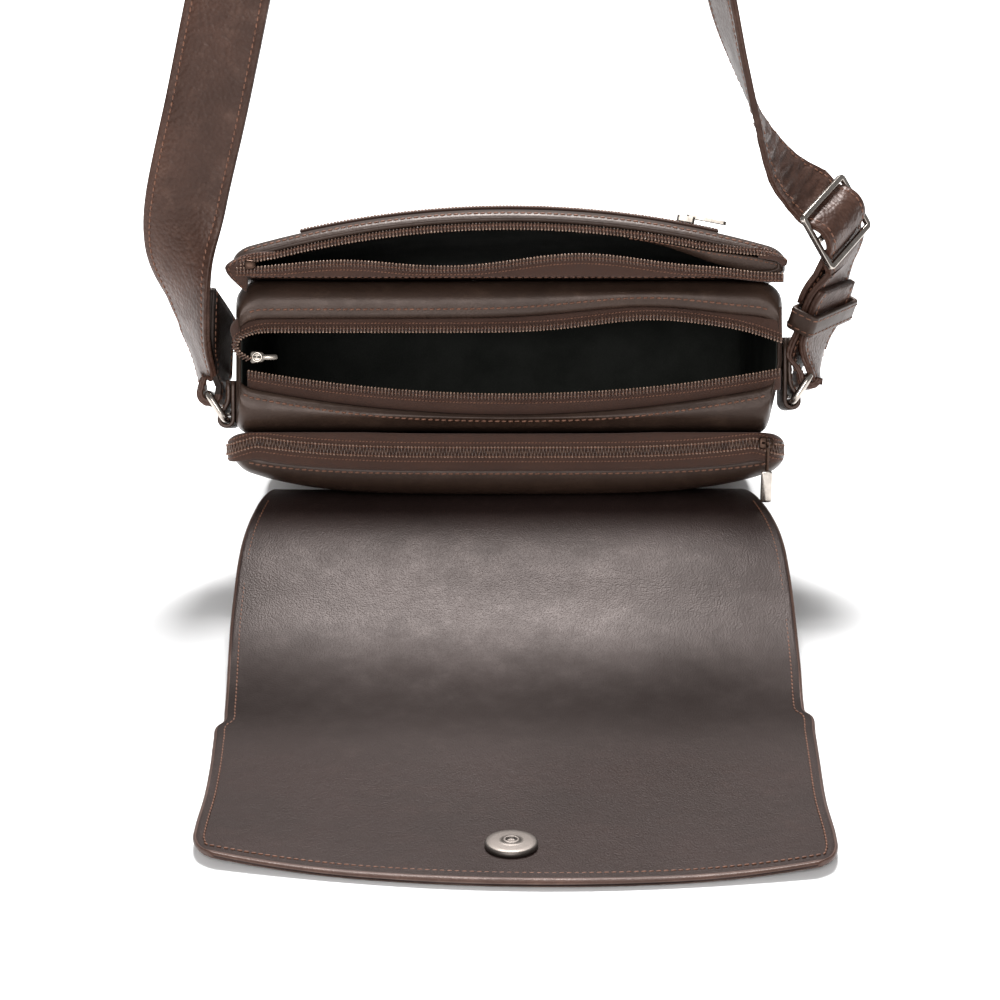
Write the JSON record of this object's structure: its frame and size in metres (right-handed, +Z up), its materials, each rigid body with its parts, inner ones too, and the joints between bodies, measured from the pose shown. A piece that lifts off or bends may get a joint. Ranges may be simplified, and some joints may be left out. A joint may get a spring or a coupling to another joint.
{
  "type": "crossbody bag",
  "caption": "Leather crossbody bag lying on its back, flap thrown open towards the front, zipped compartments gaping, and an adjustable shoulder strap held up in a loop.",
  "frame": {"origin": "underside of the shoulder strap at the top of its loop, where a hook or hand holds it", "axes": "+Z up, +X to the bag's right as seen from the flap, -Y towards the front edge of the open flap"},
  "size_m": [0.3189, 0.4881, 0.658],
  "materials": {
    "leather": "smooth dark brown leather, soft sheen",
    "pouch_leather": "smooth blackish brown leather",
    "flap_leather": "smooth grey-brown leather with fine grain",
    "strap_leather": "grained brown leather, stitched on both edges",
    "zip_tape": "woven reddish brown tape with a dark bronze coil",
    "nickel": "polished nickel"
  },
  "bodies": {
    "bag": {"main_body": "leather", "front_pouch": "pouch_leather", "back_pouch": "pouch_leather", "main_zip_near": "zip_tape", "main_zip_far": "zip_tape", "front_zip_near": "zip_tape", "front_zip_far": "zip_tape", "back_zip": "zip_tape", "pocket_zip": "zip_tape", "flap": "flap_leather", "flap_snap": "nickel", "front_snap": "nickel", "left_ring": "nickel", "right_ring": "nickel", "left_tab": "leather", "right_tab": "leather", "strap": "strap_leather", "strap_end": "strap_leather", "strap_buckle": "nickel", "strap_keeper": "leather", "main_zip_slider": "nickel", "back_zip_slider": "nickel", "front_zip_slider": "nickel", "pocket_zip_pull": "nickel"},
    "main_pull": {"main_zip_pull": "nickel"},
    "back_pull": {"back_zip_pull": "nickel"}
  },
  "joints": [
    {"name": "main_pull_swing", "type": "hinge", "parent": "bag", "child": "main_pull", "pos_m": [-0.1095, -0.01723, -0.55007], "axis": [0, -0.309, -0.9511], "range_deg": [0, 150]},
    {"name": "back_pull_swing", "type": "hinge", "parent": "bag", "child": "back_pull", "pos_m": [0.1115, -0.0377, -0.58265], "axis": [-1, 0, 0], "range_deg": [-12, 150]}
  ]
}
